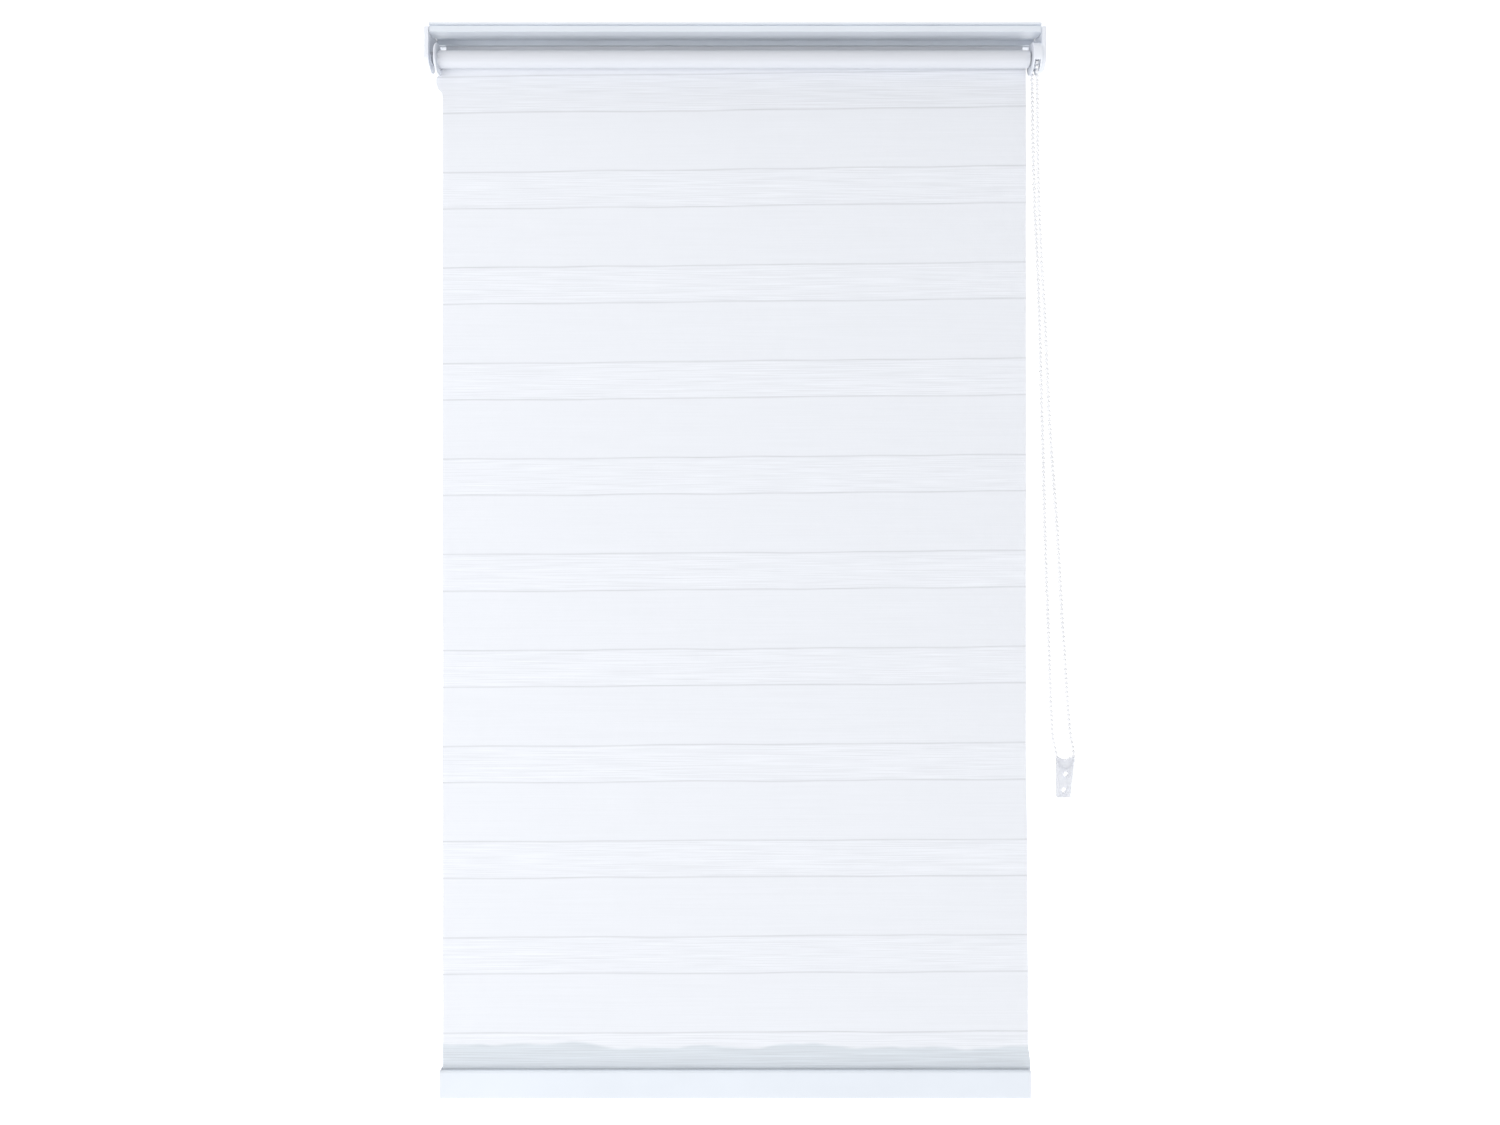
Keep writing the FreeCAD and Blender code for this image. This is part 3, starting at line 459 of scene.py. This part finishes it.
def cloth(name, sheer_z=None, white=CLOTH_WHITE):
    """Woven polyester with slubs and faint patches. A hanging layer gives sheer_z, the middle of its uppermost
    sheer band. Its sheer bands are painted lighter to lift the shade between the layers, and its foot has painted
    shade."""
    material, tree, shader = shader_nodes(name)
    slubs = grain(tree, scale=620.0, detail=2.0, stretch=SLUB_STRETCH)
    patches = grain(tree, scale=3.0, detail=2.0)
    tone = mixed(tree, spread_to(tree, slubs, 0.0, 1.0), colour(white, share=0.965), colour(white))
    tone = mixed(tree, spread_to(tree, patches, 0.0, 0.5), tone, colour(white, share=0.98))
    shader.inputs["Roughness"].default_value = 0.85
    shader.inputs["Specular IOR Level"].default_value = 0.2
    shader.inputs["Sheen Weight"].default_value = 0.15
    shader.inputs["Sheen Roughness"].default_value = 0.5
    slub_height = math_node(tree, "MULTIPLY", slubs, SLUB_HEIGHT)
    height = math_node(tree, "ADD", weave(tree), slub_height)
    if sheer_z is not None:
        x, _, z = split(tree)
        away = band_distance(tree, level_across(tree, x, z), sheer_z)
        opaque = spread_to(tree, away, 0.0, 1.0, SHEER_HALF - BAND_BLUR, SHEER_HALF + BAND_BLUR)
        # Painted light: the sheer bands are painted 4% lighter than the cloth, to lift the shade that falls
        # between the two layers.
        tone = mixed(tree, opaque, colour(white, share=1.04), tone)
        from_edge = math_node(tree, "ABSOLUTE", math_node(tree, "SUBTRACT", away, SHEER_HALF))
        edge = spread_to(tree, from_edge, 1.0, 0.0, BAND_BLUR, EDGE_LINE)
        line = math_node(tree, "MULTIPLY", edge, LINE_STRENGTH)
        tone = mixed(tree, line, tone, colour(white, share=0.86))
        # Painted shade: near its foot the cloth takes a deeper, streaked tone, for the shade seen between the two
        # layers.
        ragged = spread_to(tree, grain(tree, scale=11.0, detail=2.0), -PAINTED_SHADE_RAGGED, PAINTED_SHADE_RAGGED)
        below = math_node(tree, "ADD", z, ragged)
        low_shade = spread_to(tree, below, 1.0, 0.0, PAINTED_SHADE_Z - PAINTED_SHADE_BLUR, PAINTED_SHADE_Z + PAINTED_SHADE_BLUR)
        streak = spread_to(tree, slubs, 0.0, 1.0)
        shade_streaks = mixed(tree, streak, colour(PAINTED_SHADE_TONE, share=0.90), colour(PAINTED_SHADE_TONE))
        tone = mixed(tree, low_shade, tone, shade_streaks)
        thread_grain = grain(tree, scale=1100.0, detail=1.0, stretch=SLUB_STRETCH)
        threads = spread_to(tree, thread_grain, SHEER_COVER, 1.0)
        seen = math_node(tree, "MAXIMUM", opaque, threads)
        tree.links.new(seen, shader.inputs["Alpha"])
    tree.links.new(tone, shader.inputs["Base Color"])
    bumped(tree, shader, height, WEAVE_DEPTH, strength=0.6)
    return material


# Meshes


def mesh_object(name, points, faces, material, smooth=False):
    data = bpy.data.meshes.new(name)
    data.from_pydata([tuple(p) for p in points], [], faces)
    data.materials.append(material)
    data.validate()
    if smooth:
        data.shade_smooth()
        data.set_sharp_from_angle(angle=CREASE)
    piece = bpy.data.objects.new(name, data)
    bpy.context.scene.collection.objects.link(piece)
    return piece


def closed_sheet(name, rows, material):
    """Cloth about a grid of (point, direction of its face), with its front and back joined at the rim."""
    tall, wide = len(rows), len(rows[0])
    points = [p + n * (CLOTH_THICK / 2) for row in rows for p, n in row]
    points += [p - n * (CLOTH_THICK / 2) for row in rows for p, n in row]
    back = tall * wide
    faces = []
    for i in range(tall - 1):
        for j in range(wide - 1):
            a, b, c, d = i * wide + j, i * wide + j + 1, (i + 1) * wide + j + 1, (i + 1) * wide + j
            faces += [(a, d, c, b), (back + a, back + b, back + c, back + d)]
    for i in range(tall - 1):
        left, below = i * wide, (i + 1) * wide
        faces.append((left, back + left, back + below, below))
        right, under = left + wide - 1, below + wide - 1
        faces.append((right, under, back + under, back + right))
    for j in range(wide - 1):
        foot = (tall - 1) * wide + j
        faces.append((j, j + 1, back + j + 1, back + j))
        faces.append((foot, back + foot, back + foot + 1, foot + 1))
    return mesh_object(name, points, faces, material, smooth=True)


def eased(value):
    """0 to 1 with a slow start and end, held at 0 and 1 outside them."""
    value = min(1.0, max(0.0, value))
    return value * value * (3 - 2 * value)


def wave(x, z, seed):
    """Slow swells of the hanging cloth, up to about SWELL."""
    return SWELL * noise.noise(Vector((x * SWELL_ACROSS, z * SWELL_DOWN, seed)))


def wander(z, reach, seed):
    """How far a side edge strays at a height, up to about reach."""
    return reach * noise.noise(Vector((z * EDGE_CHANGE, seed, 0.0)))


def front_edges(z):
    """The front layer's side edges, which wander a little. The left one swings out under the roll's
    flange, and the right one drifts out below."""
    flare = FLARE * eased((FLARE_TOP - z) / FLARE_GROWS) * eased((z - FLARE_FOOT) / FLARE_FADES)
    left = FABRIC_LEFT - flare + wander(z, 0.0009, 2.0)
    drift = DRIFT * eased((DRIFT_TOP - z) / DRIFT_RUN)
    drift += HEM_DRIFT * eased((HEM_DRIFT_TOP - z) / HEM_DRIFT_RUN)
    right = FABRIC_RIGHT + drift + wander(z, 0.0006, 5.0)
    return left, right


def rear_edges(z):
    """The rear layer's side edges."""
    left = FABRIC_LEFT + wander(z, 0.0008, 8.0)
    return left, FABRIC_RIGHT - REAR_INSET


def sheet_rows(high, low, edges, depth):
    """Rows of a hanging layer from its top to its foot, where depth gives a point's Y."""
    rows = []
    for i in range(LAYER_ROWS + 1):
        z = high + (low - high) * i / LAYER_ROWS
        left, right = edges(z)
        row = []
        for j in range(LAYER_COLUMNS + 1):
            x = left + (right - left) * j / LAYER_COLUMNS
            row.append((Vector((x, depth(x, z), z)), Vector((0, -1, 0))))
        rows.append(row)
    return rows


def freedom(z, top, foot):
    """0 at a layer's two held ends, 1 where it is HELD_RUN away from both."""
    return eased((top - z) / HELD_RUN) * eased((z - foot) / HELD_RUN)


def fabric_front():
    """The layer that goes up and down, from the roll to the bar."""
    top, foot = FRONT_HIGH.z, FRONT_LOW.z
    middle_y = (FRONT_LOW.y + FRONT_HIGH.y) / 2

    def depth(x, z):
        return middle_y + wave(x, z, 1.0) * freedom(z, top, foot)

    rows = sheet_rows(top, foot, front_edges, depth)
    piece = closed_sheet("fabric_front_layer", rows, cloth("cloth_front", SHEER_Z))
    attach(piece, "frame")
    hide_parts("fabric_front")
    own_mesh(piece)


def fabric_rear():
    """The layer that the head rail holds, down to the bar."""
    top, foot = REAR_HIGH.z, REAR_LOW.z
    top_y, foot_y = REAR_HIGH.y - CLOTH_THICK / 2, REAR_LOW.y + CLOTH_THICK / 2

    def depth(x, z):
        straight = foot_y + (top_y - foot_y) * (z - foot) / (top - foot)
        return straight + wave(x, z, 4.0) * freedom(z, top, foot)

    rows = sheet_rows(top, foot, rear_edges, depth)
    piece = closed_sheet("fabric_rear_layer", rows, cloth("cloth_rear", REAR_SHEER_Z))
    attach(piece, "frame")
    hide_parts("fabric_rear")
    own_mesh(piece)


def turned_rows(centre, radius, start, end, steps, wide):
    """Rows as wide as the cloth, round a line along X. Angles are from +Y towards +Z, and radius gives one
    for each angle."""
    across = [FABRIC_LEFT + (FABRIC_RIGHT - FABRIC_LEFT) * j / wide for j in range(wide + 1)]
    rows = []
    for i in range(steps + 1):
        angle = start + (end - start) * i / steps
        out = Vector((0, math.cos(angle), math.sin(angle)))
        line = centre + out * radius(angle)
        rows.append([(Vector((x, line.y, line.z)), out) for x in across])
    return rows


def fabric_loop():
    """The half turn round the bar, which joins the two layers."""
    bar = Vector((0, BAR_Y, BAR_Z))
    rows = turned_rows(bar, lambda angle: LOOP_R, math.pi, 2 * math.pi, LOOP_STEPS, LOOP_COLUMNS)
    piece = closed_sheet("fabric_loop_turn", rows, cloth("cloth_loop"))
    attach(piece, "bottom")
    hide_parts("fabric_loop")


def fabric_roll():
    """The turns on the tube, a spiral from where the front layer hangs off, behind, in to the tube."""
    outer = ROLL_R - CLOTH_THICK / 2
    inner = TUBE_R + CLOTH_THICK / 2 + ROLL_GAP
    end = 2 * math.pi * ROLL_TURNS

    def radius(angle):
        return outer + (inner - outer) * angle / end

    axis = Vector((0, ROLL_Y, ROLL_Z))
    rows = turned_rows(axis, radius, 0, end, int(ROLL_STEPS * ROLL_TURNS), ROLL_COLUMNS)
    # The turns take a painted-shade copy of the cloth, darker for the shade under the head rail.
    piece = closed_sheet("fabric_roll_turns", rows, cloth("cloth_roll_painted_shade", white=ROLL_SHADED_WHITE))
    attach(piece, "roll")
    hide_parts("fabric_roll")


# Chain


def on_wheel(degrees, radius):
    """A point in the wheel's plane, with the angle from +Y towards +Z."""
    angle = math.radians(degrees)
    return (CHAIN_X, ROLL_Y + radius * math.cos(angle), ROLL_Z + radius * math.sin(angle))


def chain_line():
    """Points along the chain's smooth route, read from one NURBS curve."""
    start = [on_wheel(CHAIN_START, PITCH_R), on_wheel(112.5, OCTAGON), on_wheel(157.5, OCTAGON)]
    end = [on_wheel(22.5, OCTAGON), on_wheel(67.5, OCTAGON), on_wheel(CHAIN_END, PITCH_R)]
    route = start + FRONT_STRAND + TENSIONER_TURN + REAR_STRAND + end
    curve = bpy.data.curves.new("chain_route", "CURVE")
    curve.dimensions = "3D"
    curve.resolution_u = 16
    spline = curve.splines.new("NURBS")
    spline.points.add(len(route) - 1)
    for point, place in zip(spline.points, route):
        point.co = (*place, 1.0)
    spline.order_u = 3
    spline.use_endpoint_u = True
    holder = bpy.data.objects.new("chain_route", curve)
    line = bpy.data.meshes.new_from_object(holder)
    points = [v.co.copy() for v in line.vertices]
    bpy.data.objects.remove(holder)
    return points


def spaced_along(points, gap):
    """Points and directions at an even gap, the nearest to the one given that fits the whole length."""
    lengths = [(b - a).length for a, b in zip(points, points[1:])]
    count = round(sum(lengths) / gap)
    step = sum(lengths) / count
    places, run, at = [], 0.0, 0
    for i in range(count):
        while at < len(lengths) - 1 and run + lengths[at] < i * step:
            run += lengths[at]
            at += 1
        ahead = (points[at + 1] - points[at]).normalized()
        places.append((points[at] + ahead * (i * step - run), ahead))
    return places


def bead(centre, ahead, points, faces):
    """One bead, cut flat at its two ends, where the string runs through."""
    rings, sides = 9, 12
    turn = ahead.to_track_quat("Z", "Y")
    first = len(points)
    for i in range(rings):
        angle = math.pi * (i + BEAD_CUT) / (rings - 1 + 2 * BEAD_CUT)
        ring_r, ring_z = BEAD_D / 2 * math.sin(angle), BEAD_D / 2 * math.cos(angle)
        for j in range(sides):
            around = 2 * math.pi * j / sides
            local = Vector((ring_r * math.cos(around), ring_r * math.sin(around), ring_z))
            points.append(centre + turn @ local)
    for i in range(rings - 1):
        for j in range(sides):
            k = (j + 1) % sides
            a, b = first + i * sides, first + (i + 1) * sides
            faces.append((a + j, b + j, b + k, a + k))
    faces.append(tuple(first + j for j in range(sides)))
    last = first + (rings - 1) * sides
    faces.append(tuple(last + sides - 1 - j for j in range(sides)))


def string(places, points, faces):
    """The thin cord through the beads, as one tube with closed ends."""
    sides = 6
    first = len(points)
    for centre, ahead in places:
        turn = ahead.to_track_quat("Z", "X")
        for j in range(sides):
            around = 2 * math.pi * j / sides
            local = Vector((math.cos(around), math.sin(around), 0)) * CHAIN_STRING_R
            points.append(centre + turn @ local)
    for i in range(len(places) - 1):
        for j in range(sides):
            k = (j + 1) % sides
            a, b = first + i * sides, first + (i + 1) * sides
            faces.append((a + j, a + k, b + k, b + j))
    faces.append(tuple(first + sides - 1 - j for j in range(sides)))
    last = first + (len(places) - 1) * sides
    faces.append(tuple(last + j for j in range(sides)))


def bead_chain():
    """The beads and their string as one piece along the chain's route."""
    line = chain_line()
    points, faces = [], []
    for centre, ahead in spaced_along(line, BEAD_PITCH):
        bead(centre, ahead, points, faces)
    string(spaced_along(line, BEAD_PITCH / 2), points, faces)
    piece = mesh_object("bead_chain_loop", points, faces, chain_plastic(), smooth=True)
    length = sum((b - a).length for a, b in zip(line, line[1:]))
    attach(piece, "frame")
    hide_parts("bead_chain")


# Pin spring


def pin_spring():
    """Wire coil as long as the CAD spring. The real spring shortens as the pin is pressed in."""
    wire_r, turns, steps, sides = 0.00035, 7, 28, 8
    radius = (SPRING_HIGH.z - SPRING_LOW.z) / 2 - wire_r
    start, end = SPRING_LOW.x + wire_r, SPRING_HIGH.x - wire_r
    points, faces = [], []
    for i in range(turns * steps + 1):
        angle = 2 * math.pi * i / steps
        out = Vector((0, math.cos(angle), math.sin(angle)))
        x = start + (end - start) * i / (turns * steps)
        centre = Vector((x, ROLL_Y, ROLL_Z)) + out * radius
        for j in range(sides):
            around = 2 * math.pi * j / sides
            side = out * math.cos(around) + Vector((math.sin(around), 0, 0))
            points.append(centre + side * wire_r)
    for i in range(turns * steps):
        for j in range(sides):
            k = (j + 1) % sides
            a, b = i * sides, (i + 1) * sides
            faces.append((a + j, b + j, b + k, a + k))
    faces.append(tuple(range(sides)))
    faces.append(tuple(turns * steps * sides + sides - 1 - j for j in range(sides)))
    piece = mesh_object("pin_spring_coil", points, faces, MATERIALS["steel"], smooth=True)
    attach(piece, "roll")
    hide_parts("pin_spring")
    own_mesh(piece)


# Putting it together

MATERIALS = {
    "white_aluminium": powder_coat(),
    "bare_aluminium": mill_aluminium(),
    "spring_steel": zinc_steel(),
    "steel": zinc_steel(),
    "white_plastic": moulded("white_plastic", (0.80, 0.83, 0.89), roughness=0.34),
    "grey_plastic": moulded("grey_plastic", (0.36, 0.38, 0.42), roughness=0.42),
    "clear_plastic": clear_plastic(),
}


def dress_nodes():
    """Every CAD node that stays gets the material of its slot."""
    for part in frame["record"]["subparts"]:
        made = MATERIALS.get(part["material_slot"])
        if made is None:
            continue
        data = frame["nodes"][part["node"]].data
        data.materials.clear()
        data.materials.append(made)


camera()
bead_chain()
studio()
dress_nodes()
fabric_roll()
fabric_front()
fabric_rear()
fabric_loop()
pin_spring()
